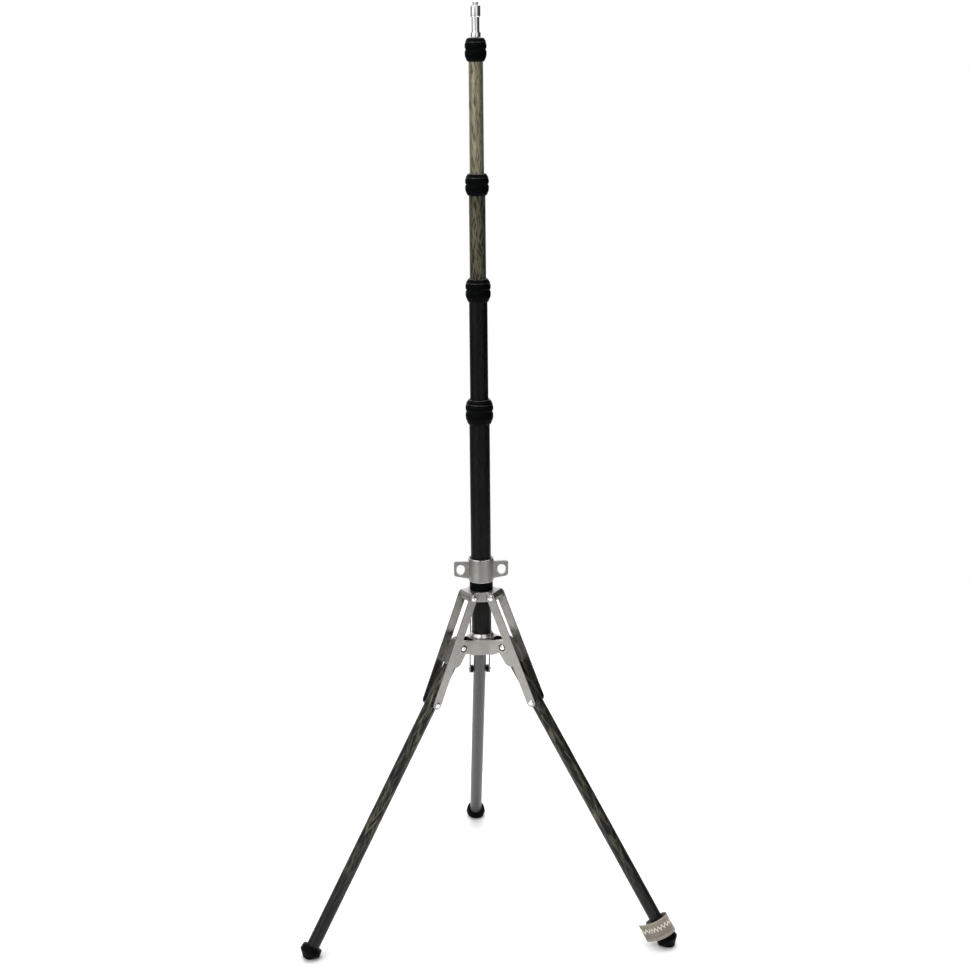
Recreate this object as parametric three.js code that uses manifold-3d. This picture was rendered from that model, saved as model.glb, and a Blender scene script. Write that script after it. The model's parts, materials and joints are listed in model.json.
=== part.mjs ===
// Folding travel stand: a telescoping carbon column on three reverse-folding legs.
// Millimetres, +Z up. The column is built on its own axis and then moved so that
// the middle of the whole stand's footprint is at the origin.
import * as THREE from 'three';
import { mergeVertices } from 'three/addons/utils/BufferGeometryUtils.js';
import Module from 'manifold-3d';

const wasm = await Module();
wasm.setup();

// ---------- driving dimensions ----------
const GAP = 0.3;
const WALL = 1.1;
const TUBE_RADIUS = [16, 14.25, 12.6, 11, 9.5];
const TUBE_SIDES = 24;
const ROUND_SIDES = 20;
const PIN_SIDES = 16;
const LOCK_SIDES = 14;

// Twist locks, lowest first: outer radius, height of the bottom edge, overall height.
const LOCKS = [
  { radius: 22.4, bottom: 832, height: 40 },
  { radius: 20.1, bottom: 1026.6, height: 35.8 },
  { radius: 18.7, bottom: 1189.6, height: 33.1 },
  { radius: 16.9, bottom: 1388.6, height: 34.4 },
];
const TUBE_BELOW_LOCK_TOP = 12;
const TUBE_LENGTH = [403.5, 424, 445, 466, 464];
const COLUMN_FOOT = 456.5;

const HUB_BOTTOM = 453;
const HUB_TOP = 478;
const HUB_RING_RADIUS = 21;
const LEG_PIVOT_RADIUS = 43.5;
const LEG_PIVOT_HEIGHT = 468.5;
const EAR_INNER = 11;
const EAR_OUTER = 14.5;
const EAR_END = { radius: 11.5, inset: 2.6, height: 470 };
const FACET_DISTANCE = 23.5;

const CARRIAGE_HUB_BOTTOM = 543;
const CARRIAGE_HUB_TOP = 559;
const CARRIAGE_RING_RADIUS = 23;
const ARM_PIN_RADIUS = 25.4;
const ARM_PIN_HEIGHT = 551;
const KNUCKLE_HALF = 14.9;
const SLIDER_RING = { radius: 18.75, bottom: 559.3, top: 572.6 };
const COLLAR = { radius: 20.3, bottom: 573, top: 611.5 };
const COLLAR_EAR = { tip: 43.7, thickness: 4.4, bottom: 577, top: 605.4 };
const EAR_HOLE = { distance: 33, height: 591.3, width: 13, length: 16.4 };

const LEG_ANGLE = THREE.MathUtils.degToRad(32.18);
const LEG_RADIUS = 10.5;
const LEG_TUBE_START = 34.3;
const LEG_TUBE_END = 541;
const FITTING_HALF = 10.6;
const FITTING_RADIUS = 11.5;
const ARM_PIN_ON_LEG = 100;
const ARM_INNER = 15.3;
const ARM_THICKNESS = 2;
const ARM_HALF_WIDTH = 7.5;
const PIN_RADIUS = 3;
const FOOT = { from: 532.6, to: 542.6, end: 554, shoulder: 16, radius: 17.2, tip: 7 };
const STRAP = { inner: 18.7, thickness: 1.2, from: 503, to: 533, tail: 10 };

const LEGS = { rear: 90, left: 210, right: 330 };

// ---------- materials ----------
const finish = (color, roughness, metalness) =>
  new THREE.MeshStandardMaterial({ color, roughness, metalness });
const carbonPale = finish(0x8c8773, 0.35, 0.1);
const carbonBrown = finish(0x45433a, 0.35, 0.1);
const carbonDark = finish(0x1c1c1b, 0.32, 0.1);
const nickel = finish(0x9b9790, 0.38, 1);
const brightSteel = finish(0xd5d2cc, 0.22, 1);
const blackRubber = finish(0x101112, 0.62, 0);
const blackPlastic = finish(0x161616, 0.5, 0);
const webbing = finish(0x8a8176, 0.9, 0);

// ---------- solids ----------
function signedVolume(position, index) {
  const a = new THREE.Vector3();
  const b = new THREE.Vector3();
  const c = new THREE.Vector3();
  let sum = 0;
  for (let i = 0; i < index.length; i += 3) {
    a.fromArray(position, index[i] * 3);
    b.fromArray(position, index[i + 1] * 3);
    c.fromArray(position, index[i + 2] * 3);
    sum += a.dot(b.cross(c));
  }
  return sum / 6;
}

// One closed surface: shared vertices, no empty triangles, faces pointing out.
function closed(geometry) {
  geometry.deleteAttribute('normal');
  geometry.deleteAttribute('uv');
  const merged = mergeVertices(geometry, 1e-4);
  const source = merged.index.array;
  const index = [];
  for (let i = 0; i < source.length; i += 3) {
    const [a, b, c] = [source[i], source[i + 1], source[i + 2]];
    if (a !== b && b !== c && c !== a) index.push(a, b, c);
  }
  if (signedVolume(merged.attributes.position.array, index) < 0) index.reverse();
  merged.setIndex(index);
  return merged;
}

function toSolid(geometry) {
  const whole = closed(geometry);
  return new wasm.Manifold(new wasm.Mesh({
    numProp: 3,
    vertProperties: new Float32Array(whole.attributes.position.array),
    triVerts: new Uint32Array(whole.index.array),
  }));
}

function fromSolid(solid) {
  const mesh = solid.getMesh();
  const geometry = new THREE.BufferGeometry();
  const points = new Float32Array(mesh.vertProperties);
  geometry.setAttribute('position', new THREE.BufferAttribute(points, 3));
  geometry.setIndex(Array.from(mesh.triVerts));
  return geometry;
}

const join = (first, ...others) =>
  fromSolid(others.reduce((sum, part) => sum.add(toSolid(part)), toSolid(first)));
const cut = (first, ...others) =>
  fromSolid(others.reduce((rest, part) => rest.subtract(toSolid(part)), toSolid(first)));
const common = (first, second) => fromSolid(toSolid(first).intersect(toSolid(second)));

// A profile of [radius, height] points turned round the Z axis.
function turned(profile, sides = ROUND_SIDES) {
  const points = profile.map(([radius, height]) => new THREE.Vector2(radius, height));
  return new THREE.LatheGeometry(points, sides).rotateX(Math.PI / 2);
}

function sleeve(outer, inner, bottom, top, sides = TUBE_SIDES) {
  const profile = [[outer, bottom], [outer, top], [inner, top], [inner, bottom], [outer, bottom]];
  return turned(profile, sides);
}

function rod(radius, bottom, top, sides = ROUND_SIDES) {
  return turned([[0, bottom], [radius, bottom], [radius, top], [0, top]], sides);
}

// A rod along Y, through the point x, z.
function crossRod(radius, from, to, x = 0, z = 0, sides = PIN_SIDES) {
  return rod(radius, -to, -from, sides).rotateX(Math.PI / 2).translate(x, 0, z);
}

function block(x0, x1, y0, y1, z0, z1) {
  const box = new THREE.BoxGeometry(x1 - x0, y1 - y0, z1 - z0);
  return box.translate((x0 + x1) / 2, (y0 + y1) / 2, (z0 + z1) / 2);
}

// An outline drawn in X and Z, given a thickness from y0 to y1.
function plate(shape, y0, y1, curveSegments = 7) {
  const depth = y1 - y0;
  const flat = new THREE.ExtrudeGeometry(shape, { depth, bevelEnabled: false, curveSegments });
  return flat.rotateX(Math.PI / 2).translate(0, y1, 0);
}

// A bar with two round ends, in X and Z, from the origin to the point x, z.
function slotShape(x, z, radius) {
  const angle = Math.atan2(z, x);
  const shape = new THREE.Shape();
  shape.absarc(0, 0, radius, angle + Math.PI / 2, angle + 1.5 * Math.PI, false);
  shape.absarc(x, z, radius, angle - Math.PI / 2, angle + Math.PI / 2, false);
  shape.closePath();
  return shape;
}

function addPart(parent, name, geometry, material) {
  const mesh = new THREE.Mesh(closed(geometry), material);
  mesh.name = name;
  parent.add(mesh);
  return mesh;
}

// ---------- column ----------
const lockTop = (lock) => lock.bottom + lock.height;
const tubeTop = (i) => (i < 4 ? lockTop(LOCKS[i]) - TUBE_BELOW_LOCK_TOP : lockTop(LOCKS[3]) - 1.5);
const tubeBottom = (i) => tubeTop(i) - TUBE_LENGTH[i];

function lockSleeve(i) {
  const { radius, bottom, height } = LOCKS[i];
  const top = bottom + height;
  const skirt = TUBE_RADIUS[i] + 0.8;
  const cavity = TUBE_RADIUS[i] + 3;
  const mouth = TUBE_RADIUS[i + 1] + 0.8;
  const rim = Math.max(0.75 * radius, mouth + 1.4);
  const at = (share) => bottom + share * height;
  const profile = [[skirt, bottom], [skirt + 0.8, bottom], [radius, at(0.33)]];
  profile.push([0.925 * radius, at(0.51)], [radius, at(0.68)]);
  profile.push([rim, top], [mouth, top], [mouth, top - 3], [cavity, top - 3]);
  profile.push([cavity, bottom + 6], [skirt, bottom + 6], [skirt, bottom]);
  return turned(profile, LOCK_SIDES);
}

function lockThread(i) {
  const inner = TUBE_RADIUS[i] + GAP;
  const outer = TUBE_RADIUS[i] + 2;
  const from = LOCKS[i].bottom + 7;
  const to = tubeTop(i);
  const profile = [[inner, from], [outer, from], [outer, from + 5]];
  profile.push([outer - 0.6, from + 6], [outer - 0.6, to], [inner, to], [inner, from]);
  return turned(profile, TUBE_SIDES);
}

// A split ring that the lock squeezes on to the next tube.
function lockCollet(i) {
  const inner = TUBE_RADIUS[i + 1] + GAP;
  const outer = TUBE_RADIUS[i] + 1.9;
  const from = tubeTop(i) + GAP;
  const to = lockTop(LOCKS[i]) - 3 - GAP;
  const profile = [[inner, from], [outer, from], [outer, to - 3], [inner + 1.4, to]];
  profile.push([inner, to], [inner, from]);
  const split = block(inner - 1, outer + 1, -0.6, 0.6, from - 1, to + 1);
  return cut(turned(profile, TUBE_SIDES), split);
}

// The bush on the lower end of a moving tube, which slides in the tube outside it.
function slideBush(i) {
  const end = tubeBottom(i);
  const slide = TUBE_RADIUS[i - 1] - WALL - GAP;
  const inside = TUBE_RADIUS[i] - WALL - GAP;
  const bore = inside - 1.5;
  const profile = [[bore, end - 3.4], [slide, end - 3.4], [slide, end - GAP], [inside, end - GAP]];
  profile.push([inside, end + 9], [bore, end + 9], [bore, end - 3.4]);
  return turned(profile, TUBE_SIDES);
}

function columnTube(i) {
  const outer = TUBE_RADIUS[i];
  return sleeve(outer, outer - WALL, tubeBottom(i), tubeTop(i));
}

function spigotStud() {
  const base = lockTop(LOCKS[3]) + 0.9;
  const profile = [[0, base - 12], [4.6, base - 12], [4.6, base], [8, base], [8, base + 7]];
  profile.push([6.3, base + 9], [6.3, base + 29], [7.95, base + 30.6], [7.95, base + 44.6]);
  profile.push([7.2, base + 45.5], [4.7, base + 45.5], [4.7, base + 50], [3.9, base + 51], [0, base + 51]);
  return turned(profile);
}

function topPlug() {
  const top = tubeTop(4);
  const inside = TUBE_RADIUS[4] - WALL - GAP;
  const outer = TUBE_RADIUS[4] - 0.1;
  const profile = [[4.9, top - 16], [inside, top - 16], [inside, top + GAP], [outer, top + GAP]];
  profile.push([outer, top + 1.8], [4.9, top + 1.8], [4.9, top - 16]);
  return turned(profile);
}

// ---------- lower hub ----------
const eachLeg = (make) => Object.values(LEGS).map((degrees) => {
  return make().rotateZ(THREE.MathUtils.degToRad(degrees));
});

function hubEar(side) {
  const y0 = side > 0 ? EAR_INNER : -EAR_OUTER;
  const shape = new THREE.Shape();
  shape.moveTo(8, HUB_BOTTOM);
  shape.lineTo(26, HUB_BOTTOM);
  const { radius, inset, height } = EAR_END;
  shape.absarc(LEG_PIVOT_RADIUS - inset, height, radius, -1.8, 1.7, false);
  shape.lineTo(28, HUB_TOP);
  shape.lineTo(8, HUB_TOP);
  shape.closePath();
  return plate(shape, y0, y0 + EAR_OUTER - EAR_INNER, 8);
}

function lowerHub() {
  const ring = rod(HUB_RING_RADIUS, HUB_BOTTOM, HUB_TOP, TUBE_SIDES);
  const ears = [1, -1].flatMap((side) => eachLeg(() => hubEar(side)));
  const facets = eachLeg(() => {
    return block(-FACET_DISTANCE, -12, -17.2, 17.2, HUB_BOTTOM, HUB_TOP);
  });
  const slots = eachLeg(() => {
    return block(HUB_RING_RADIUS, 60, -EAR_INNER, EAR_INNER, HUB_BOTTOM - 1, HUB_TOP + 1);
  });
  const pinHoles = eachLeg(() => {
    return crossRod(PIN_RADIUS + GAP, -20, 20, LEG_PIVOT_RADIUS, LEG_PIVOT_HEIGHT);
  });
  const recesses = [1, -1].flatMap((side) => eachLeg(() => {
    const [from, to] = side > 0 ? [EAR_OUTER - 1.6, 20] : [-20, 1.6 - EAR_OUTER];
    return crossRod(6, from, to, LEG_PIVOT_RADIUS, LEG_PIVOT_HEIGHT);
  }));
  const bore = rod(TUBE_RADIUS[0] + GAP, COLUMN_FOOT - GAP, HUB_TOP + 1, TUBE_SIDES);
  const drain = rod(6, HUB_BOTTOM - 1, COLUMN_FOOT);
  const solid = join(ring, ...ears, ...facets);
  return cut(solid, ...slots, ...pinHoles, ...recesses, bore, drain);
}

function hubBush() {
  const inner = TUBE_RADIUS[0] + GAP;
  const from = HUB_TOP + GAP;
  const profile = [[inner, from], [19.6, from], [19.6, from + 2.5], [18.8, from + 4.5]];
  profile.push([17.1, from + 7], [inner, from + 7], [inner, from]);
  return turned(profile, TUBE_SIDES);
}

// A pin along Y, with a head outside each of the two faces at plus and minus half.
function pivotPin(half, headRadius, headHeight) {
  const top = half + headHeight;
  const profile = [[0, -top], [headRadius - 0.6, -top], [headRadius, 0.6 - top]];
  profile.push([headRadius, -half], [PIN_RADIUS, -half], [PIN_RADIUS, half], [headRadius, half]);
  profile.push([headRadius, top - 0.6], [headRadius - 0.6, top], [0, top]);
  return turned(profile, PIN_SIDES).rotateX(Math.PI / 2);
}

// ---------- carriage ----------
function upperHub() {
  const ring = rod(CARRIAGE_RING_RADIUS, CARRIAGE_HUB_BOTTOM, CARRIAGE_HUB_TOP, TUBE_SIDES);
  const knuckles = eachLeg(() => {
    const shape = new THREE.Shape();
    shape.moveTo(10, CARRIAGE_HUB_BOTTOM);
    shape.lineTo(ARM_PIN_RADIUS, CARRIAGE_HUB_BOTTOM);
    shape.absarc(ARM_PIN_RADIUS, ARM_PIN_HEIGHT - 0.8, 7.2, -Math.PI / 2, 0.6, false);
    shape.lineTo(28.5, CARRIAGE_HUB_TOP);
    shape.lineTo(10, CARRIAGE_HUB_TOP);
    shape.closePath();
    return plate(shape, -KNUCKLE_HALF, KNUCKLE_HALF);
  });
  const pinHoles = eachLeg(() => {
    return crossRod(PIN_RADIUS + GAP, -30, 30, ARM_PIN_RADIUS, ARM_PIN_HEIGHT);
  });
  const from = CARRIAGE_HUB_BOTTOM - 1;
  const bore = rod(TUBE_RADIUS[0] + 0.4, from, CARRIAGE_HUB_TOP + 1, TUBE_SIDES);
  return cut(join(ring, ...knuckles), ...pinHoles, bore);
}

function clampCollar() {
  const inner = TUBE_RADIUS[0] + 0.4;
  const { radius, bottom, top } = COLLAR;
  const profile = [[inner, bottom], [radius - 0.8, bottom], [radius, bottom + 0.8]];
  profile.push([radius, top - 1], [radius - 1, top], [inner + 1.2, top], [inner, top - 1.2]);
  profile.push([inner, bottom]);
  const barrel = turned(profile, TUBE_SIDES);
  const half = COLLAR_EAR.thickness / 2;
  const ears = [1, -1].map((side) => {
    const shape = new THREE.Shape();
    shape.moveTo(side * 18.5, COLLAR_EAR.bottom - 1);
    shape.lineTo(side * (COLLAR_EAR.tip - 3), COLLAR_EAR.bottom + 3);
    shape.lineTo(side * COLLAR_EAR.tip, COLLAR_EAR.bottom + 6);
    shape.lineTo(side * COLLAR_EAR.tip, COLLAR_EAR.top - 2);
    shape.lineTo(side * (COLLAR_EAR.tip - 2), COLLAR_EAR.top);
    shape.lineTo(side * 18.5, COLLAR_EAR.top);
    shape.closePath();
    return plate(shape, -half, half);
  });
  const holes = [1, -1].map((side) => {
    const radius2 = EAR_HOLE.width / 2;
    const straight = EAR_HOLE.length - EAR_HOLE.width;
    const shape = slotShape(0, straight, radius2);
    const z = EAR_HOLE.height - straight / 2;
    return plate(shape, -20, 20).translate(side * EAR_HOLE.distance, 0, z);
  });
  const screwHole = crossRod(3.3, 10, 30, 0, EAR_HOLE.height);
  return cut(join(barrel, ...ears), ...holes, screwHole);
}

function sliderRing() {
  const { radius, bottom, top } = SLIDER_RING;
  return sleeve(radius, TUBE_RADIUS[0] + 0.4, bottom, top);
}

// A low thumb screw at the back of the collar, with a fluted grip.
function clampKnob() {
  const screw = crossRod(3, 16.6, 24, 0, EAR_HOLE.height);
  const head = crossRod(9.5, 21, 31.5, 0, EAR_HOLE.height, 24);
  const flutes = [];
  for (let i = 0; i < 12; i += 1) {
    const angle = (i / 12) * 2 * Math.PI;
    const x = 10.6 * Math.cos(angle);
    const z = EAR_HOLE.height + 10.6 * Math.sin(angle);
    flutes.push(crossRod(1.9, 22.5, 33, x, z, 8));
  }
  return cut(join(screw, head), ...flutes);
}

// A point on the leg's axis, as distance from the column and height above the floor.
const legPoint = (along) => new THREE.Vector2(
  LEG_PIVOT_RADIUS + along * Math.sin(LEG_ANGLE),
  LEG_PIVOT_HEIGHT - along * Math.cos(LEG_ANGLE),
);

// ---------- legs, in a frame with the pivot at the origin and the leg along -Z ----------
function legFitting() {
  const lug = plate(slotShape(0, -24, FITTING_RADIUS), -FITTING_HALF, FITTING_HALF, 8);
  const shoulder = rod(FITTING_RADIUS, -34, -12, TUBE_SIDES);
  const envelope = block(-20, 20, -FITTING_HALF, FITTING_HALF, -34, 20);
  const outside = common(join(lug, shoulder), envelope);
  const plug = rod(LEG_RADIUS - WALL - GAP, -62, -30, TUBE_SIDES);
  return cut(join(outside, plug), crossRod(PIN_RADIUS + GAP, -15, 15));
}

function legTube() {
  const tube = sleeve(LEG_RADIUS, LEG_RADIUS - WALL, -LEG_TUBE_END, -LEG_TUBE_START);
  return cut(tube, crossRod(4.8, -15, 15, 0, -ARM_PIN_ON_LEG));
}

// The spool that the arms turn on: a core through the tube and a wide flange each side.
function pivotSpool() {
  const face = ARM_INNER - GAP;
  const core = crossRod(4.5, -face, face, 0, -ARM_PIN_ON_LEG);
  const flanges = [[LEG_RADIUS + 0.4, face], [-face, -LEG_RADIUS - 0.4]].map(([from, to]) => {
    return crossRod(6.6, from, to, 0, -ARM_PIN_ON_LEG);
  });
  return join(core, ...flanges);
}

// A puck in line with the leg, flaring to a cone, and cut level where it meets the floor.
function footPad() {
  const { from, to, end, shoulder, radius, tip } = FOOT;
  const profile = [[0, -end], [tip, -end], [radius, -to], [shoulder, -from - 1]];
  profile.push([shoulder - 1, -from], [0, -from]);
  const floor = block(0, 600, -60, 60, -100, 0);
  floor.translate(-LEG_PIVOT_RADIUS, 0, -LEG_PIVOT_HEIGHT).rotateY(LEG_ANGLE);
  const socket = rod(LEG_RADIUS + GAP, -LEG_TUBE_END - GAP, -from + 1, TUBE_SIDES);
  return cut(turned(profile, TUBE_SIDES), floor, socket);
}

function strapLoop() {
  const { inner, thickness, from, to, tail } = STRAP;
  const outer = inner + thickness;
  const loop = sleeve(outer, inner, -to, -from);
  const end = block(-outer - tail, 0, -outer, -inner, -to, -from);
  const hollow = rod(inner, -to - 1, 1 - from, TUBE_SIDES);
  return cut(join(loop, end), hollow);
}

// ---------- arms, in a frame with the upper pin at the origin and the arm along -Z ----------
const armFoot = legPoint(ARM_PIN_ON_LEG).sub(new THREE.Vector2(ARM_PIN_RADIUS, ARM_PIN_HEIGHT));
const ARM_LENGTH = armFoot.length();
const ARM_ANGLE = Math.atan2(armFoot.x, -armFoot.y);

function armBar(side) {
  const y0 = side > 0 ? ARM_INNER : -ARM_INNER - ARM_THICKNESS;
  const bar = plate(slotShape(0, -ARM_LENGTH, ARM_HALF_WIDTH), y0, y0 + ARM_THICKNESS, 6);
  const upper = crossRod(PIN_RADIUS + GAP, -20, 20);
  const lower = crossRod(PIN_RADIUS + GAP, -20, 20, 0, -ARM_LENGTH);
  return cut(bar, upper, lower);
}

function armRivet(side) {
  const inner = ARM_INNER + 0.05;
  const face = ARM_INNER + ARM_THICKNESS + GAP;
  const shank = [[0, inner], [PIN_RADIUS, inner], [PIN_RADIUS, face], [4.6, face]];
  const profile = [...shank, [4.6, face + 0.7], [3.6, face + 1.5], [0, face + 1.5]];
  const rivet = turned(profile, PIN_SIDES).rotateX(side > 0 ? -Math.PI / 2 : Math.PI / 2);
  return rivet.translate(0, 0, -ARM_LENGTH);
}

// ---------- assembly ----------
const stand = new THREE.Group();

addPart(stand, 'column_tube_1', columnTube(0), carbonDark);
addPart(stand, 'column_tube_2', columnTube(1), carbonDark);
addPart(stand, 'column_tube_3', columnTube(2), carbonBrown);
addPart(stand, 'column_tube_4', columnTube(3), carbonPale);
addPart(stand, 'column_tube_5', columnTube(4), carbonPale);
LOCKS.forEach((lock, i) => {
  addPart(stand, `twist_lock_${i + 1}`, lockSleeve(i), blackRubber);
  addPart(stand, `lock_thread_${i + 1}`, lockThread(i), blackPlastic);
  addPart(stand, `lock_collet_${i + 1}`, lockCollet(i), blackPlastic);
  addPart(stand, `slide_bush_${i + 2}`, slideBush(i + 1), blackPlastic);
});
addPart(stand, 'spigot_stud', spigotStud(), brightSteel);
addPart(stand, 'top_plug', topPlug(), blackPlastic);
addPart(stand, 'lower_hub', lowerHub(), nickel);
addPart(stand, 'hub_bush', hubBush(), brightSteel);
addPart(stand, 'upper_hub', upperHub(), nickel);
addPart(stand, 'slider_ring', sliderRing(), blackRubber);
addPart(stand, 'clamp_collar', clampCollar(), nickel);
addPart(stand, 'clamp_knob', clampKnob(), blackPlastic);

for (const [side, degrees] of Object.entries(LEGS)) {
  const spoke = new THREE.Group();
  spoke.rotation.z = THREE.MathUtils.degToRad(degrees);
  stand.add(spoke);

  const lowerPin = pivotPin(EAR_OUTER - 1.3, 4.4, 1.2);
  addPart(spoke, `leg_pin_${side}`, lowerPin, brightSteel)
    .position.set(LEG_PIVOT_RADIUS, 0, LEG_PIVOT_HEIGHT);
  const upperPin = pivotPin(ARM_INNER + ARM_THICKNESS + GAP, 4.8, 1.5);
  addPart(spoke, `arm_pin_${side}`, upperPin, brightSteel)
    .position.set(ARM_PIN_RADIUS, 0, ARM_PIN_HEIGHT);

  const leg = new THREE.Group();
  leg.position.set(LEG_PIVOT_RADIUS, 0, LEG_PIVOT_HEIGHT);
  leg.rotation.y = -LEG_ANGLE;
  spoke.add(leg);
  addPart(leg, `leg_tube_${side}`, legTube(), carbonDark);
  addPart(leg, `leg_fitting_${side}`, legFitting(), nickel);
  addPart(leg, `pivot_spool_${side}`, pivotSpool(), blackPlastic);
  addPart(leg, `foot_${side}`, footPad(), blackRubber);
  if (side === 'right') addPart(leg, 'tie_strap', strapLoop(), webbing);

  const arms = new THREE.Group();
  arms.position.set(ARM_PIN_RADIUS, 0, ARM_PIN_HEIGHT);
  arms.rotation.y = -ARM_ANGLE;
  spoke.add(arms);
  addPart(arms, `arm_a_${side}`, armBar(1), nickel);
  addPart(arms, `arm_b_${side}`, armBar(-1), nickel);
  addPart(arms, `arm_rivet_a_${side}`, armRivet(1), brightSteel);
  addPart(arms, `arm_rivet_b_${side}`, armRivet(-1), brightSteel);
}

// Stand the whole on the floor, with the middle of its footprint at the origin.
const box = new THREE.Box3().setFromObject(stand, true);
const middle = box.getCenter(new THREE.Vector3());
stand.position.set(-middle.x, -middle.y, -box.min.z);

const group = new THREE.Group();
group.add(stand);
export default group;
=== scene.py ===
"""Looks of a folding travel stand: a telescoping carbon column on three reverse-folding legs.

The frame is in metres, +Z up the column and one leg towards +Y. Sizes below are in
millimetres, as on a drawing, and MM turns them into metres.
"""
import json
import math

import bmesh
import bpy
from mathutils import Matrix, Vector


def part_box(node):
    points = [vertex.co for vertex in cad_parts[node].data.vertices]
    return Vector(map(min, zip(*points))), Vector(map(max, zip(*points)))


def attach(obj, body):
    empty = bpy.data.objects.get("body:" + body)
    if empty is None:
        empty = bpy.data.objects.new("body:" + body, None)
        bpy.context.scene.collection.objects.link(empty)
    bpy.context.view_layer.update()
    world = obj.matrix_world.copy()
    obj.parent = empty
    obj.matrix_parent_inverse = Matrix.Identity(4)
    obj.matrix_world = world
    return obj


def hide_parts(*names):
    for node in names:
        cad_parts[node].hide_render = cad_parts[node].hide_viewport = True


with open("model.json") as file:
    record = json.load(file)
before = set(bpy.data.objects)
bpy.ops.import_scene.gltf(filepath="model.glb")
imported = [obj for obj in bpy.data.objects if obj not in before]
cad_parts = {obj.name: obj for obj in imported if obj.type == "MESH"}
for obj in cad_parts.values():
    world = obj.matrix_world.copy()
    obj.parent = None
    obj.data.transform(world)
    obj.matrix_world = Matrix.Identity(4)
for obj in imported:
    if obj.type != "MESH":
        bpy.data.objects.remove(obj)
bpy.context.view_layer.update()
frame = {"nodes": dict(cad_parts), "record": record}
MM = 0.001
scene = bpy.context.scene

# ---------- sizes, in millimetres ----------
TUBE_RADIUS = [16, 14.25, 12.6, 11, 9.5]
WALL = 1.1
GAP = 0.3
HUB_BOTTOM, HUB_TOP, HUB_RING = 453, 478, 21
LEG_PIVOT_RADIUS, LEG_PIVOT_HEIGHT = 43.5, 468.5
EAR_INNER, EAR_OUTER = 11, 14.5
EAR_END_RADIUS, EAR_END_INSET, EAR_END_HEIGHT = 11.5, 2.6, 470
FACET_DISTANCE = 23.5
CARRIAGE_BOTTOM, CARRIAGE_TOP, CARRIAGE_RING = 543, 559, 23
ARM_PIN_RADIUS, ARM_PIN_HEIGHT = 25.4, 551
KNUCKLE_HALF = 14.9
COLLAR_RADIUS, COLLAR_BOTTOM, COLLAR_TOP = 20.3, 573, 611.5
COLLAR_EAR_TIP, COLLAR_EAR_THICKNESS = 43.7, 4.4
COLLAR_EAR_BOTTOM, COLLAR_EAR_TOP = 577, 605.4
EAR_HOLE_DISTANCE, EAR_HOLE_HEIGHT = 33, 591.3
EAR_HOLE_WIDTH, EAR_HOLE_LENGTH = 13, 16.4
COUNTERBORE_RADIUS, COUNTERBORE_DEPTH = 6, 1.6
LEG_ANGLE = math.radians(32.18)
LEG_RADIUS, LEG_TUBE_START, LEG_TUBE_END = 10.5, 34.3, 541
FITTING_HALF, FITTING_RADIUS = 10.6, 11.5
SPOOL_RADIUS, SPOOL_CORE_RADIUS = 6.6, 4.5
ARM_PIN_ON_LEG = 100
ARM_INNER, ARM_THICKNESS, ARM_HALF_WIDTH = 15.3, 2, 7.5
PIN_RADIUS = 3
FOOT_FROM, FOOT_TO, FOOT_END = 532.6, 542.6, 554
FOOT_SHOULDER, FOOT_RADIUS, FOOT_TIP = 16, 17.2, 7
STRAP_RADIUS, STRAP_FROM, STRAP_TO, STRAP_TAIL = 18.9, 503, 533, 14
# Which way each leg points, in degrees from +X.
LEGS = {"rear": 90, "left": 210, "right": 330}
# How many sides a round piece has, and a large one.
ROUND, FINE = 72, 96

# ---------- places ----------
low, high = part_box("column_tube_1")
column = Matrix.Translation(((low.x + high.x) / 2, (low.y + high.y) / 2, 0))
part_body = {n: b for b, group in frame["record"]["behaviour"]["bodies"].items() for n in group}
part_slot = {s["node"]: s["material_slot"] for s in frame["record"]["subparts"]}


def shift(x, y, z):
    return Matrix.Translation((x * MM, y * MM, z * MM))


def turn(angle, axis):
    return Matrix.Rotation(angle, 4, axis)


def spoke(side):
    return column @ turn(math.radians(LEGS[side]), "Z")


arm_foot_x = LEG_PIVOT_RADIUS + ARM_PIN_ON_LEG * math.sin(LEG_ANGLE) - ARM_PIN_RADIUS
arm_foot_z = LEG_PIVOT_HEIGHT - ARM_PIN_ON_LEG * math.cos(LEG_ANGLE) - ARM_PIN_HEIGHT
ARM_LENGTH = math.hypot(arm_foot_x, arm_foot_z)
ARM_ANGLE = math.atan2(arm_foot_x, -arm_foot_z)


def leg_frame(side):
    return spoke(side) @ shift(LEG_PIVOT_RADIUS, 0, LEG_PIVOT_HEIGHT) @ turn(-LEG_ANGLE, "Y")


def arm_frame(side):
    return spoke(side) @ shift(ARM_PIN_RADIUS, 0, ARM_PIN_HEIGHT) @ turn(-ARM_ANGLE, "Y")


# ---------- camera ----------
# Millimetres from the column and above the floor, and degrees.
CAMERA_DISTANCE, CAMERA_HEIGHT = 2769.4, 1486.4
CAMERA_PITCH, CAMERA_ROLL, CAMERA_HEADING = 15.256, -0.566, -0.158
STAND_TURN = 2.559
SENSOR_WIDTH, FOCAL_LENGTH = 36, 66.943

camera = bpy.data.objects.new("camera", bpy.data.cameras.new("camera"))
scene.collection.objects.link(camera)
scene.camera = camera
camera.data.sensor_fit = "HORIZONTAL"
camera.data.sensor_width = SENSOR_WIDTH
camera.data.lens = FOCAL_LENGTH
camera.data.clip_end = 50
camera.matrix_world = (
    column
    @ turn(-math.radians(STAND_TURN), "Z")
    @ shift(0, -CAMERA_DISTANCE, CAMERA_HEIGHT)
    @ turn(math.radians(CAMERA_HEADING), "Z")
    @ turn(math.radians(90 - CAMERA_PITCH), "X")
    @ turn(math.radians(CAMERA_ROLL), "Z")
)


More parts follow.
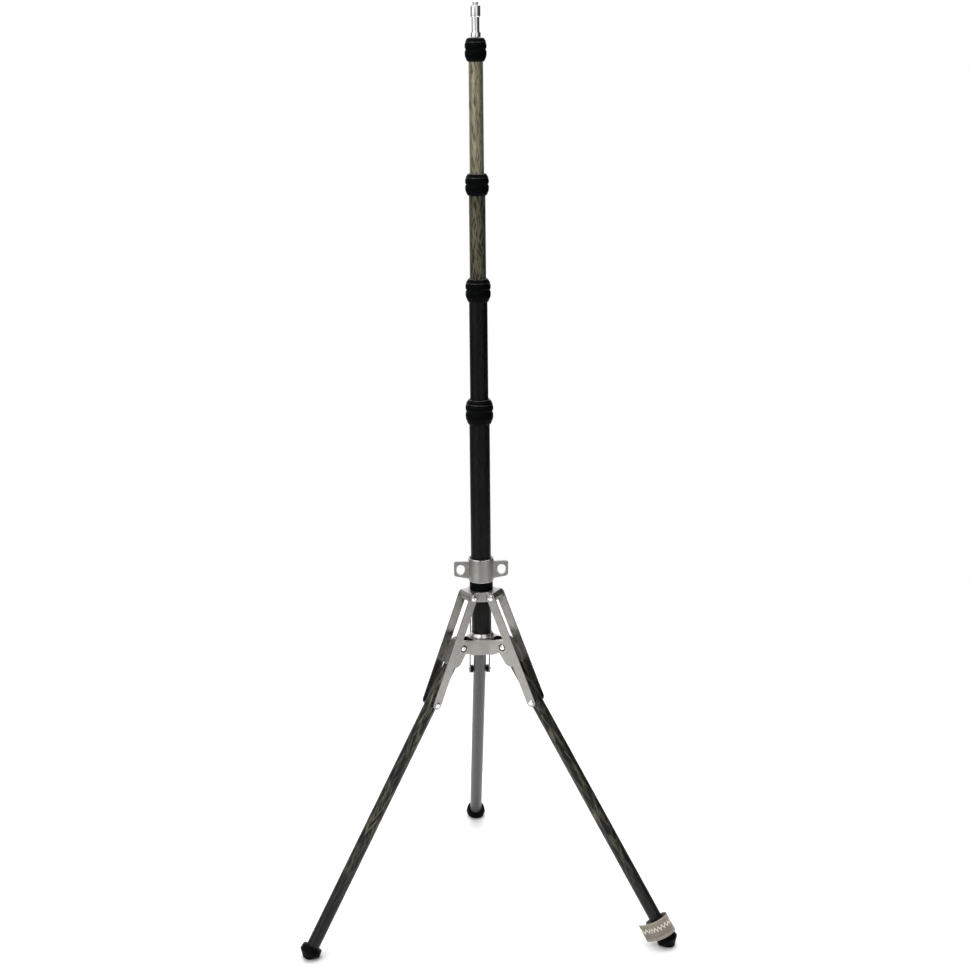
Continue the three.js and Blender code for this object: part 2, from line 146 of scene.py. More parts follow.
# ---------- materials ----------
class Nodes:
    """A node tree, built by short calls: a new material's, or the one it is given."""

    def __init__(self, name=None, tree=None):
        self.tree = tree
        if tree is None:
            self.material = bpy.data.materials.new(name)
            self.material.use_nodes = True
            self.tree = self.material.node_tree
            self.shader = self.tree.nodes["Principled BSDF"]

    def add(self, kind, values=None, **settings):
        node = self.tree.nodes.new("ShaderNode" + kind)
        for key, value in settings.items():
            setattr(node, key, value)
        for key, value in (values or {}).items():
            self.put(value, node.inputs[key])
        return node

    def put(self, value, socket):
        if isinstance(value, bpy.types.NodeSocket):
            self.tree.links.new(value, socket)
        else:
            socket.default_value = value

    def math(self, operation, a, b=0.0, c=0.0, clamp=False):
        values = {0: a, 1: b, 2: c}
        return self.add("Math", values, operation=operation, use_clamp=clamp).outputs[0]

    def noise(self, vector, scale, detail=2.0, rough=0.5):
        values = {"Vector": vector, "Scale": scale, "Detail": detail, "Roughness": rough}
        return self.add("TexNoise", values).outputs["Fac"]

    def stretch(self, vector, scale, location=(0, 0, 0)):
        return self.add("Mapping", {"Vector": vector, "Scale": scale, "Location": location}).outputs[0]

    def ramp(self, factor, *stops, smooth=False):
        node = self.add("ValToRGB", {"Fac": factor})
        node.color_ramp.interpolation = "EASE" if smooth else "LINEAR"
        elements = node.color_ramp.elements
        while len(elements) < len(stops):
            elements.new(0.5)
        for element, (place, colour) in zip(elements, stops):
            grey = isinstance(colour, (int, float))
            element.position = place
            element.color = (colour, colour, colour, 1) if grey else (*colour, 1)
        return node.outputs["Color"]

    def mix(self, factor, a, b, blend="MIX"):
        node = self.add("Mix", data_type="RGBA", blend_type=blend)
        self.put(factor, node.inputs[0])
        for value, socket in ((a, node.inputs[6]), (b, node.inputs[7])):
            self.put((*value, 1) if isinstance(value, tuple) else value, socket)
        return node.outputs[2]

    def place(self):
        """Where a point is in its piece's own frame, in metres, with tubes along Z."""
        return self.add("Attribute", attribute_name="place").outputs["Vector"]

    def parts(self, vector):
        return self.add("SeparateXYZ", {0: vector}).outputs

    def bump(self, height, distance, strength=1.0):
        values = {"Height": height, "Distance": distance, "Strength": strength}
        self.put(self.add("Bump", values).outputs[0], self.shader.inputs["Normal"])

    def surface(self, **values):
        for key, value in values.items():
            socket = self.shader.inputs[key.replace("_", " ")]
            self.put((*value, 1) if isinstance(value, tuple) and len(value) == 3 else value, socket)
        return self.material


# How far a tow leans as it winds, and the noise's cells per metre across and along the tube.
TOW_LEAN, TOW_CELLS, HAIR_CELLS = 0.19, (330, 330, 34), (2100, 2100, 70)


def carbon(name, dark, streak, share, lift, coat, fade=None):
    """Braided carbon under clear coat: long bright tows that wind round the tube both ways.

    dark and streak are the two fibre colours, share is how much of the surface the streaks
    take, and lift how strongly they show. coat is the clear coat's weight. fade is the two
    heights, in metres, between which the streaks come in.
    """
    n = Nodes(name)
    place = n.place()
    x, y, z = n.parts(place)[:3]
    radius = n.math("SQRT", n.math("ADD", n.math("MULTIPLY", x, x), n.math("MULTIPLY", y, y)))
    around = n.math("DIVIDE", z, radius)
    braids = []
    for lean, offset in ((TOW_LEAN, 0.0), (-TOW_LEAN, 7.3)):
        angle = n.math("MULTIPLY", around, lean)
        turned = n.add("VectorRotate", {"Vector": place, "Angle": angle}, rotation_type="Z_AXIS")
        tow = n.stretch(turned.outputs[0], TOW_CELLS, (offset, 0, offset))
        hair = n.stretch(turned.outputs[0], HAIR_CELLS, (0, offset, 0))
        braids.append((n.noise(tow, 1.0, 2.0, 0.45), n.noise(hair, 1.0, 1.0)))
    streaks = n.math("MAXIMUM", braids[0][0], braids[1][0])
    hairs = n.math("MAXIMUM", braids[0][1], braids[1][1])
    edge = 0.66 - 0.28 * share
    mask = n.ramp(streaks, (edge, 0.0), (edge + 0.13, 1.0), smooth=True)
    fibre = n.ramp(hairs, (0.42, 0.55), (0.75, 1.0))
    patch = n.noise(n.stretch(place, (60, 60, 14)), 1.0, 1.0)
    depth = n.math("MULTIPLY", mask, n.ramp(patch, (0.3, lift * 0.45), (0.7, lift)))
    if fade:
        spread = n.add("MapRange", {0: z, 1: fade[0], 2: fade[1], 3: 0.08, 4: 1.0})
        depth = n.math("MULTIPLY", depth, spread.outputs[0])
    tint = n.mix(depth, dark, streak)
    n.bump(n.math("ADD", n.math("MULTIPLY", hairs, 0.4), streaks), 0.00006, 0.5)
    return n.surface(
        Base_Color=n.mix(1.0, tint, fibre, "MULTIPLY"),
        Metallic=n.math("MULTIPLY", depth, 0.85),
        Roughness=n.ramp(hairs, (0.4, 0.32), (0.7, 0.42)),
        Specular_IOR_Level=0.2,
        Coat_Weight=coat,
        Coat_Roughness=0.16,
    )


def cast_metal(name, colour, roughness, grain=900, brushed=None):
    """Satin metal: fine grain, faint blotches in its tone, and brush lines where it has them."""
    n = Nodes(name)
    place = n.place()
    speck = n.noise(n.stretch(place, brushed or (1, 1, 1)), grain, 3.0, 0.6)
    cloud = n.noise(place, 90.0, 3.0, 0.55)
    shade = n.ramp(cloud, (0.3, tuple(0.86 * c for c in colour)), (0.7, colour))
    n.bump(speck, 0.00003, 0.35)
    spread = n.ramp(speck, (0.3, roughness - 0.06), (0.7, roughness + 0.07))
    return n.surface(Base_Color=shade, Metallic=1.0, Roughness=spread)


def moulded(name, colour, roughness, grain=1400, gloss=0.3, inner=False):
    """Rubber or plastic: a fine pebbled skin with dusty patches. inner is for CAD nodes."""
    n = Nodes(name)
    place = n.add("TexCoord").outputs["Object"] if inner else n.place()
    pebble = n.add("TexVoronoi", {"Vector": place, "Scale": grain}).outputs["Distance"]
    dust = n.noise(place, 160.0, 4.0, 0.6)
    pale = tuple(c * 1.7 + 0.001 for c in colour)
    n.bump(pebble, 0.00004, 0.4)
    spread = n.ramp(dust, (0.3, roughness - 0.07), (0.7, roughness + 0.08))
    tone = n.ramp(dust, (0.45, colour), (0.8, pale))
    return n.surface(Base_Color=tone, Roughness=spread, Specular_IOR_Level=gloss)


# The tape's pattern, in metres: its threads, the zigzag's half pitch, its slope (a ratio) and
# lowest point, and where the browner lower part meets the upper band.
THREAD, TOOTH, TOOTH_SLOPE, ZIGZAG_FROM, BAND_FROM = 0.0011, 0.0031, 2.1, 0.0148, 0.0222


def webbing(name):
    """Woven tape. U runs along it and V across it, both in metres."""
    n = Nodes(name)
    tape = n.add("UVMap", uv_map="weave").outputs[0]
    u, v = n.parts(tape)[:2]
    warp = n.math("SINE", n.math("MULTIPLY", u, 2 * math.pi / THREAD))
    weft = n.math("SINE", n.math("MULTIPLY", v, 2 * math.pi / THREAD))
    knots = n.math("MULTIPLY_ADD", n.math("MULTIPLY", warp, weft), 0.5, 0.5)
    tooth = n.math("PINGPONG", u, TOOTH)
    wave = n.math("MULTIPLY_ADD", tooth, TOOTH_SLOPE, ZIGZAG_FROM)
    fuzz = n.noise(tape, 900.0, 3.0, 0.7)
    worn = n.noise(tape, 260.0, 2.0, 0.6)
    width = n.math("MULTIPLY_ADD", worn, 0.0050, -0.0006)
    zigzag = n.math("LESS_THAN", n.math("ABSOLUTE", n.math("SUBTRACT", v, wave)), width)
    upper = n.math("GREATER_THAN", v, BAND_FROM)
    rib = n.ramp(fuzz, (0.3, (0.170, 0.140, 0.115)), (0.7, (0.300, 0.255, 0.215)))
    band = n.ramp(fuzz, (0.3, (0.200, 0.180, 0.140)), (0.7, (0.330, 0.300, 0.245)))
    cloth = n.mix(upper, rib, band)
    cloth = n.mix(zigzag, cloth, (0.78, 0.73, 0.62))
    for line, width in ((0.0288, 0.0007), (0.0034, 0.0006), (0.0006, 0.0009)):
        near = n.math("LESS_THAN", n.math("ABSOLUTE", n.math("SUBTRACT", v, line)), width)
        cloth = n.mix(n.math("MULTIPLY", near, 0.6), cloth, (0.52, 0.48, 0.42))
    n.bump(n.math("ADD", knots, n.math("MULTIPLY", fuzz, 0.8)), 0.00022, 0.8)
    shade = n.ramp(knots, (0.0, 0.66), (1.0, 1.0))
    return n.surface(
        Base_Color=n.mix(1.0, cloth, shade, "MULTIPLY"),
        Roughness=0.85,
        Sheen_Weight=0.25,
    )


finishes = {
    "carbon_dark": carbon(
        "carbon_dark", (0.002, 0.002, 0.002), (0.030, 0.029, 0.022), 0.45, 0.9, 0.0
    ),
    # The leg copies are painted sheen: paler olive streaks for the front legs' highlights, and a grey
    # copy for the light the rear leg's slope reflects.
    "carbon_painted_olive_sheen": carbon(
        "carbon_painted_olive_sheen", (0.006, 0.0065, 0.006), (0.170, 0.160, 0.115), 0.5, 0.95, 0.1, (-0.47, -0.31)
    ),
    "carbon_painted_grey_sheen": carbon("carbon_painted_grey_sheen", (0.085, 0.087, 0.090), (0.13, 0.13, 0.13), 0.5, 0.3, 0.1),
    # The brown and pale copies of the carbon are painted sheen: lit copies of the one braid, for the
    # light the upper tubes reflect at their angle.
    "carbon_painted_brown_sheen": carbon("carbon_painted_brown_sheen", (0.024, 0.022, 0.015), (0.27, 0.25, 0.17), 0.7, 0.95, 0.1),
    "carbon_pale": carbon("carbon_pale", (0.15, 0.135, 0.09), (0.60, 0.55, 0.37), 0.8, 0.95, 0.2),
    "black_rubber": moulded("black_rubber", (0.0012, 0.0015, 0.0019), 0.5, gloss=0.04),
    "black_plastic": moulded("black_plastic", (0.002, 0.002, 0.0022), 0.34, 2200, gloss=0.12),
    # A glossy black painted paler: a painted highlight for the locks' lip and top edge.
    "lip_painted_highlight": moulded("lip_painted_highlight", (0.022, 0.023, 0.025), 0.24, 2200, gloss=0.4),
    "satin_nickel": cast_metal("satin_nickel", (0.40, 0.39, 0.365), 0.36),
    "arm_steel": cast_metal("arm_steel", (0.37, 0.355, 0.335), 0.30, 260, (6, 6, 0.5)),
    "bright_steel": cast_metal("bright_steel", (0.86, 0.85, 0.83), 0.13, 500, (0.3, 0.3, 9)),
    # Paler than the satin nickel: edge wear together with a painted highlight on the rounded edges.
    "worn_edge_and_highlight": cast_metal("worn_edge_and_highlight", (0.66, 0.65, 0.62), 0.26),
    # A dark steel for the arms' narrow sides: painted dark reflection.
    "painted_dark_edge": cast_metal("painted_dark_edge", (0.15, 0.14, 0.13), 0.32),
    "webbing": webbing("webbing"),
}
inner_plastic = moulded("inner_plastic", (0.012, 0.012, 0.013), 0.4, 2200, inner=True)
worn_edge_and_highlight = finishes["worn_edge_and_highlight"]


# ---------- mesh making ----------
def revolve(profile, sides=ROUND, radius_at=None):
    """A closed solid round Z from (radius, height) points that start and end on the axis,
    or a ring from a closed loop of them. radius_at(radius, height, angle) may reshape it."""
    ring = profile[0] == profile[-1]
    points = profile[:-1] if ring else profile
    bm = bmesh.new()
    rows = []
    for radius, height in points:
        if radius < 1e-6:
            rows.append([bm.verts.new((0, 0, height * MM))] * sides)
            continue
        row = []
        for i in range(sides):
            angle = 2 * math.pi * i / sides
            r = (radius_at(radius, height, angle) if radius_at else radius) * MM
            row.append(bm.verts.new((r * math.cos(angle), r * math.sin(angle), height * MM)))
        rows.append(row)
    for a, b in zip(rows, rows[1:] + (rows[:1] if ring else [])):
        for i in range(sides):
            j = (i + 1) % sides
            corners = list(dict.fromkeys([a[i], a[j], b[j], b[i]]))
            if len(corners) > 2:
                bm.faces.new(corners)
    bmesh.ops.recalc_face_normals(bm, faces=bm.faces)
    return bm


def plate(outline, y0, y1):
    """A flat plate: an outline of (x, z) points with a thickness from y0 to y1."""
    bm = bmesh.new()
    near = [bm.verts.new((x * MM, y0 * MM, z * MM)) for x, z in outline]
    far = [bm.verts.new((x * MM, y1 * MM, z * MM)) for x, z in outline]
    bm.faces.new(near)
    bm.faces.new(far)
    for i in range(len(outline)):
        j = (i + 1) % len(outline)
        bm.faces.new((near[i], near[j], far[j], far[i]))
    bmesh.ops.recalc_face_normals(bm, faces=bm.faces)
    return bm


def arc(x, z, radius, start, end, steps=16):
    turns = [start + (end - start) * i / steps for i in range(steps + 1)]
    return [(x + radius * math.cos(a), z + radius * math.sin(a)) for a in turns]


def slot_outline(z0, z1, radius):
    """A bar with round ends, from height z0 up to z1."""
    return arc(0, z1, radius, 0, math.pi) + arc(0, z0, radius, math.pi, 2 * math.pi)


def box(x0, x1, y0, y1, z0, z1):
    return plate([(x0, z0), (x1, z0), (x1, z1), (x0, z1)], y0, y1)


def rod(radius, bottom, top, sides=ROUND):
    return revolve([(0, bottom), (radius, bottom), (radius, top), (0, top)], sides)


def cross_rod(radius, start, end, x=0, z=0, sides=48):
    """A rod along Y, through the point x, z."""
    bm = rod(radius, -end, -start, sides)
    bm.transform(shift(x, 0, z) @ turn(math.pi / 2, "X"))
    return bm


def moved(bm, matrix):
    bm.transform(matrix)
    return bm


def to_object(bm, name="work"):
    mesh = bpy.data.meshes.new(name)
    bm.to_mesh(mesh)
    bm.free()
    obj = bpy.data.objects.new(name, mesh)
    scene.collection.objects.link(obj)
    return obj


def bake(obj):
    """Makes what the modifiers show into the object's own mesh."""
    graph = bpy.context.evaluated_depsgraph_get()
    mesh = bpy.data.meshes.new_from_object(obj.evaluated_get(graph))
    obj.modifiers.clear()
    obj.data = mesh


def carve(base, add=(), cut=()):
    """Joins the solids in add to base, then takes away the solids in cut."""
    obj = to_object(base)
    tools = []
    for operation, solids in (("UNION", add), ("DIFFERENCE", cut)):
        for solid in solids:
            tool = to_object(solid)
            tools.append(tool)
            modifier = obj.modifiers.new("boolean", "BOOLEAN")
            modifier.operation = operation
            modifier.solver = "MANIFOLD"
            modifier.object = tool
    bake(obj)
    for tool in tools:
        bpy.data.objects.remove(tool)
    return obj


def soften(obj, width, angle=32, segments=2):
    """Rounds the edges over, as a tumbled casting has them. The rounds take the second slot."""
    bm = bmesh.new()
    bm.from_mesh(obj.data)
    bmesh.ops.remove_doubles(bm, verts=bm.verts, dist=0.02 * MM)
    bmesh.ops.dissolve_degenerate(bm, edges=bm.edges, dist=0.01 * MM)
    bmesh.ops.dissolve_limit(bm, verts=bm.verts, edges=bm.edges, angle_limit=math.radians(1))
    bm.to_mesh(obj.data)
    bm.free()
    while len(obj.data.materials) < 2:
        obj.data.materials.append(None)
    bevel = obj.modifiers.new("bevel", "BEVEL")
    bevel.width = width * MM
    bevel.segments = segments
    bevel.limit_method = "ANGLE"
    bevel.angle_limit = math.radians(angle)
    bevel.use_clamp_overlap = False
    bevel.material = 1
    bake(obj)
    return obj


def smooth(obj, angle=32):
    """Shades rounds smoothly and keeps flats flat, with a sharp line at each hard edge."""
    obj.data.shade_smooth()
    obj.data.set_sharp_from_angle(angle=math.radians(angle))
    even = obj.modifiers.new("even", "WEIGHTED_NORMAL")
    even.keep_sharp = True
    bake(obj)


def keep_place(obj):
    """Stores each point's place in the piece's own frame, for the materials to read."""
    places = [coordinate for vertex in obj.data.vertices for coordinate in vertex.co]
    attribute = obj.data.attributes.new("place", "FLOAT_VECTOR", "POINT")
    attribute.data.foreach_set("vector", places)


def install(obj, node, matrix, finish=None, edge=None):
    """Names a finished piece after its CAD node, puts it in place and sets it to ride there."""
    if isinstance(obj, bmesh.types.BMesh):
        obj = to_object(obj)
    obj.name = obj.data.name = node + "_shown"
    finish = finish or part_slot[node]
    material = finishes[finish]
    smooth(obj)
    while len(obj.data.materials) < 2:
        obj.data.materials.append(None)
    obj.data.materials[0], obj.data.materials[1] = material, edge or material
    keep_place(obj)
    obj.data.transform(matrix)
    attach(obj, part_body[node])
    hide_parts(node)
    return obj


def at_each_leg(make):
    return [moved(make(), turn(math.radians(degrees), "Z")) for degrees in LEGS.values()]


# ---------- column ----------
def height_of(node):
    """Lowest and highest point of a CAD node, in millimetres."""
    bottom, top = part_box(node)
    return bottom.z / MM, top.z / MM


def tube(radius, bottom, top, ease=0.35):
    inner = radius - WALL
    return [
        (inner, bottom), (radius - ease, bottom), (radius, bottom + ease), (radius, top - ease),
        (radius - ease, top), (inner, top), (inner, bottom),
    ]


for i, radius in enumerate(TUBE_RADIUS):
    node = f"column_tube_{i + 1}"
    # Tubes 3 to 5 take the lit carbon copies, as painted sheen.
    look = {2: "carbon_painted_brown_sheen", 3: "carbon_pale", 4: "carbon_pale"}.get(i, "carbon_dark")
    install(revolve(tube(radius, *height_of(node)), FINE), node, column, look)

GRIP_FLUTES, FLUTE_DEPTH = 30, 0.32
# The hard ring's lip, as shares of the lock's height, and the height of its top edge. Both take a
# paler, glossier black: a painted highlight for the lip's light line and the glints by the tube.
LIP_FROM, LIP_SHARE, TOP_EDGE = 0.805, 0.04, 1.3


def lock_profile(i, bottom, top):
    """A two-lobed rubber grip on a skirt that hides the thread, under a hard top ring."""
    radius = (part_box(f"twist_lock_{i + 1}")[1].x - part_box(f"twist_lock_{i + 1}")[0].x) / 2 / MM
    height = top - bottom
    skirt, mouth = TUBE_RADIUS[i] + 0.6, TUBE_RADIUS[i + 1] + 0.6
    rim = max(0.75 * radius, mouth + 1.4)
    shape = [
        (0.868, 0.07), (0.89, 0.1), (0.88, 0.112), (0.88, 0.122), (0.915, 0.135), (0.965, 0.2),
        (0.99, 0.26), (1, 0.33), (0.998, 0.39), (0.985, 0.44), (0.955, 0.48), (0.922, 0.5),
        (0.915, 0.51), (0.922, 0.52), (0.955, 0.54), (0.985, 0.575), (0.998, 0.62), (1, 0.67),
        (0.992, 0.72), (0.97, 0.765), (0.945, 0.785), (0.925, 0.79), (0.925, 0.8),
        (0.955, 0.81), (0.958, 0.82), (0.945, 0.838), (0.89, 0.89),
    ]
    grip = [(share * radius, bottom + rise * height) for share, rise in shape]
    return [
        (skirt, bottom), (skirt + 0.7, bottom), (skirt + 1.1, bottom + 0.4), *grip,
        (rim + 0.6, top - 0.6), (rim, top - 0.1), (rim - 0.4, top), (mouth + 0.9, top),
        (mouth + 0.6, top - 0.8), (mouth, top - 1.2), (mouth, top - 3), (skirt + 2.1, top - 3),
        (skirt + 2.1, bottom + 6), (skirt, bottom + 6), (skirt, bottom),
    ]


for i in range(4):
    node = f"twist_lock_{i + 1}"
    bottom, top = height_of(node)

    def fluted(radius, height, angle, bottom=bottom, top=top):
        share = (height - bottom) / (top - bottom)
        if not 0.19 < share < 0.77 or abs(share - 0.51) < 0.02:
            return radius
        return radius - FLUTE_DEPTH * max(0.0, math.cos(GRIP_FLUTES * angle)) ** 2

    lock = to_object(revolve(lock_profile(i, bottom, top), GRIP_FLUTES * 6, fluted))
    lip_from = bottom + LIP_FROM * (top - bottom)
    lip_to = lip_from + LIP_SHARE * (top - bottom)
    lock.data.materials.append(None)
    lock.data.materials.append(None)
    # Lip and top edge faces take the second slot, painted paler as a highlight.
    for face in lock.data.polygons:
        height = face.center.z / MM
        face.material_index = int(lip_from < height < lip_to or height > top - TOP_EDGE)
    install(lock, node, column, edge=finishes["lip_painted_highlight"])

# The stud: a 16 mm spigot with a neck, and a threaded end of 16 turns to the inch.
THREAD_PITCH, THREAD_DEPTH, STUD_SHANK = 25.4 / 16, 0.75, 12
bottom, top = height_of("spigot_stud")
base = bottom + STUD_SHANK
thread_from, thread_to = base + 45.6, base + 50.4


def threaded(radius, height, angle):
    if not thread_from < height < thread_to:
        return radius
    turn_share = (height / THREAD_PITCH - angle / (2 * math.pi)) % 1
    fade = min(1, (height - thread_from) / 0.6, (thread_to - height) / 0.6)
    return radius - THREAD_DEPTH * fade * abs(2 * turn_share - 1)


thread_rows = [(4.7, thread_from + 0.15 * k) for k in range(1, int(4.8 / 0.15))]
stud = [
    (0, bottom), (4.6, bottom), (4.6, base), (7.6, base), (8, base + 0.4), (8, base + 6.3),
    (7.7, base + 7), (6.9, base + 7.6), (6.4, base + 8.6), (6.3, base + 9.4), (6.3, base + 28.6),
    (6.5, base + 29.2), (7.6, base + 30.3), (7.95, base + 30.9), (7.95, base + 44.2),
    (7.4, base + 45.3), (7.1, base + 45.5), (4.7, base + 45.5), *thread_rows,
    (4.6, thread_to + 0.1), (3.9, top - 0.1), (3.6, top), (0, top),
]
install(revolve(stud, ROUND, threaded), "spigot_stud", column)

bottom, top = height_of("top_plug")
inside, outer = TUBE_RADIUS[4] - WALL - GAP, TUBE_RADIUS[4] - 0.1
plug = [
    (4.9, bottom), (inside, bottom), (inside, top - 1.5), (outer, top - 1.5), (outer, top - 0.3),
    (outer - 0.3, top), (4.9, top), (4.9, bottom),
]
install(revolve(plug), "top_plug", column)

# ---------- lower hub ----------
ear_outline = [
    (8, HUB_BOTTOM), (26, HUB_BOTTOM),
    *arc(LEG_PIVOT_RADIUS - EAR_END_INSET, EAR_END_HEIGHT, EAR_END_RADIUS, -1.8, 1.7, 28),
    (28, HUB_TOP), (8, HUB_TOP),
]
ears = []
for y0 in (EAR_INNER, -EAR_OUTER):
    ears += at_each_leg(lambda y0=y0: plate(ear_outline, y0, y0 + EAR_OUTER - EAR_INNER))
facets = at_each_leg(lambda: box(-FACET_DISTANCE, -12, -17.2, 17.2, HUB_BOTTOM, HUB_TOP))
slots = at_each_leg(
    lambda: box(HUB_RING, 60, -EAR_INNER, EAR_INNER, HUB_BOTTOM - 1, HUB_TOP + 1)
)
holes = at_each_leg(
    lambda: cross_rod(PIN_RADIUS + GAP, -20, 20, LEG_PIVOT_RADIUS, LEG_PIVOT_HEIGHT)
)
floor_of_bore = EAR_OUTER - COUNTERBORE_DEPTH
for start, end in ((floor_of_bore, 20), (-20, -floor_of_bore)):
    holes += at_each_leg(
        lambda start=start, end=end: cross_rod(
            COUNTERBORE_RADIUS, start, end, LEG_PIVOT_RADIUS, LEG_PIVOT_HEIGHT
        )
    )
bore = rod(TUBE_RADIUS[0] + GAP, HUB_BOTTOM + 3.2, HUB_TOP + 1, FINE)
drain = rod(6, HUB_BOTTOM - 1, HUB_BOTTOM + 4)
hub = carve(
    rod(HUB_RING, HUB_BOTTOM, HUB_TOP, FINE), [*ears, *facets], [*slots, *holes, bore, drain]
)
hub = soften(hub, 0.45)
hub.data.materials.append(None)
# The counterbores are painted black inside, as painted shadow in the gap round each pin: they take the
# third slot.
for face in hub.data.polygons:
    for degrees in LEGS.values():
        point = turn(math.radians(-degrees), "Z") @ face.center / MM
        reach = math.hypot(point.x - LEG_PIVOT_RADIUS, point.z - LEG_PIVOT_HEIGHT)
        if reach < COUNTERBORE_RADIUS + 0.02 and abs(point.y) < EAR_OUTER - 0.1:
            face.material_index = 2
install(hub, "lower_hub", column, edge=worn_edge_and_highlight)
# Black rubber in the third slot is the painted shadow round the pins.
hub.data.materials[2] = finishes["black_rubber"]

inner, bush = TUBE_RADIUS[0] + GAP, HUB_TOP + GAP
# The bush takes the paler edge metal all over: a painted highlight on it.
install(
    revolve([
        (inner, bush), (19.3, bush), (19.6, bush + 0.3), (19.6, bush + 2.3), (19.4, bush + 2.8),
        (18.6, bush + 4.6), (17.4, bush + 6.6), (17.1, bush + 6.9), (inner + 0.3, bush + 7),
        (inner, bush + 6.7), (inner, bush),
    ], FINE),
    "hub_bush", column, "worn_edge_and_highlight",
)

# ---------- carriage ----------
knuckle = [
    (10, CARRIAGE_BOTTOM), (ARM_PIN_RADIUS, CARRIAGE_BOTTOM),
    *arc(ARM_PIN_RADIUS, ARM_PIN_HEIGHT - 0.8, 7.2, -math.pi / 2, 0.6, 14),
    (28.5, CARRIAGE_TOP), (10, CARRIAGE_TOP),
]
knuckles = at_each_leg(lambda: plate(knuckle, -KNUCKLE_HALF, KNUCKLE_HALF))
holes = at_each_leg(
    lambda: cross_rod(PIN_RADIUS + GAP, -30, 30, ARM_PIN_RADIUS, ARM_PIN_HEIGHT)
)
bore = rod(TUBE_RADIUS[0] + 0.4, CARRIAGE_BOTTOM - 1, CARRIAGE_TOP + 1, FINE)
ring = rod(CARRIAGE_RING, CARRIAGE_BOTTOM, CARRIAGE_TOP, FINE)
install(
    soften(carve(ring, knuckles, [*holes, bore]), 0.6), "upper_hub", column, edge=worn_edge_and_highlight
)

bottom, top = height_of("slider_ring")
radius, inner = 18.75, TUBE_RADIUS[0] + 0.4
install(
    revolve([
        (inner, bottom), (radius - 0.5, bottom), (radius, bottom + 0.5), (radius, top - 2.4),
        (radius - 0.5, top - 2), (radius - 0.5, top - 1.6), (radius, top - 1.2),
        (radius, top - 0.4), (radius - 0.4, top), (inner, top), (inner, bottom),
    ], FINE),
    "slider_ring", column,
)

inner = TUBE_RADIUS[0] + 0.4
barrel = revolve([
    (inner, COLLAR_BOTTOM), (COLLAR_RADIUS - 0.8, COLLAR_BOTTOM),
    (COLLAR_RADIUS, COLLAR_BOTTOM + 0.8), (COLLAR_RADIUS, COLLAR_TOP - 0.7),
    (COLLAR_RADIUS - 0.5, COLLAR_TOP), (COLLAR_RADIUS - 1.2, COLLAR_TOP),
    (inner + 0.5, COLLAR_TOP - 2), (inner, COLLAR_TOP - 2.6), (inner, COLLAR_BOTTOM),
], FINE)
collar_ears, ear_holes = [], []
for side in (1, -1):
    outline = [
        (18.5, COLLAR_EAR_BOTTOM - 1), (COLLAR_EAR_TIP - 4, COLLAR_EAR_BOTTOM + 2.8),
        (COLLAR_EAR_TIP - 1.2, COLLAR_EAR_BOTTOM + 4.2), (COLLAR_EAR_TIP, COLLAR_EAR_BOTTOM + 7),
        (COLLAR_EAR_TIP, COLLAR_EAR_TOP - 2.6), (COLLAR_EAR_TIP - 0.8, COLLAR_EAR_TOP - 0.8),
        (COLLAR_EAR_TIP - 2.6, COLLAR_EAR_TOP), (18.5, COLLAR_EAR_TOP),
    ]
    half = COLLAR_EAR_THICKNESS / 2
    collar_ears.append(plate([(side * x, z) for x, z in outline], -half, half))
    straight = (EAR_HOLE_LENGTH - EAR_HOLE_WIDTH) / 2
    hole = slot_outline(-straight, straight, EAR_HOLE_WIDTH / 2)
    ear_holes.append(
        moved(plate(hole, -20, 20), shift(side * EAR_HOLE_DISTANCE, 0, EAR_HOLE_HEIGHT))
    )
screw_hole = cross_rod(3.3, 10, 30, 0, EAR_HOLE_HEIGHT)
collar = carve(barrel, collar_ears, [*ear_holes, screw_hole])
install(soften(collar, 0.5), "clamp_collar", column, edge=worn_edge_and_highlight)

knob_head = revolve([
    (0, 21), (8.6, 21), (9.5, 21.9), (9.5, 29.6), (8.9, 30.8), (7.6, 31.5), (6.2, 31.5),
    (5.8, 30.9), (0, 30.9),
])
flutes = []
for i in range(12):
    angle = 2 * math.pi * i / 12
    flutes.append(
        moved(rod(1.9, 22.5, 33, 24), shift(10.6 * math.cos(angle), 10.6 * math.sin(angle), 0))
    )
knob = soften(carve(knob_head, [rod(3, 16.6, 24, 32)], flutes), 0.35)
install(knob, "clamp_knob", column @ shift(0, 0, EAR_HOLE_HEIGHT) @ turn(-math.pi / 2, "X"))


# ---------- pins ----------
def pin(half, head, height, socket):
    """A pin along Y with a domed head at each end, and a hexagon socket in each head."""
    top = half + height
    dome = [(head, half + 0.45 * height), (head - 0.35, top - 0.25), (head - 1, top), (0, top)]
    profile = [(0, -top), *[(r, -z) for r, z in reversed(dome[:-1])], (head, -half)]
    profile += [(PIN_RADIUS, -half), (PIN_RADIUS, half), (head, half), *dome]
    sockets = [rod(socket, top - 0.9, top + 1, 6), rod(socket, -top - 1, 0.9 - top, 6)]
    obj = carve(revolve(profile, 48), [], sockets)
    obj.data.transform(turn(math.pi / 2, "X"))
    return obj


def rivet(side):
    """A domed rivet head on the outer face of an arm, with its shank in the arm's hole."""
    inner, face = ARM_INNER + 0.05, ARM_INNER + ARM_THICKNESS + GAP
    profile = [
        (0, inner), (PIN_RADIUS, inner), (PIN_RADIUS, face), (4.4, face), (4.6, face + 0.2),
        (4.5, face + 0.7), (3.9, face + 1.2), (2.6, face + 1.5), (1.5, face + 1.5),
        (1.1, face + 1.15), (0, face + 1.1),
    ]
    bm = revolve(profile, 48)
    return moved(bm, turn(-side * math.pi / 2, "X"))


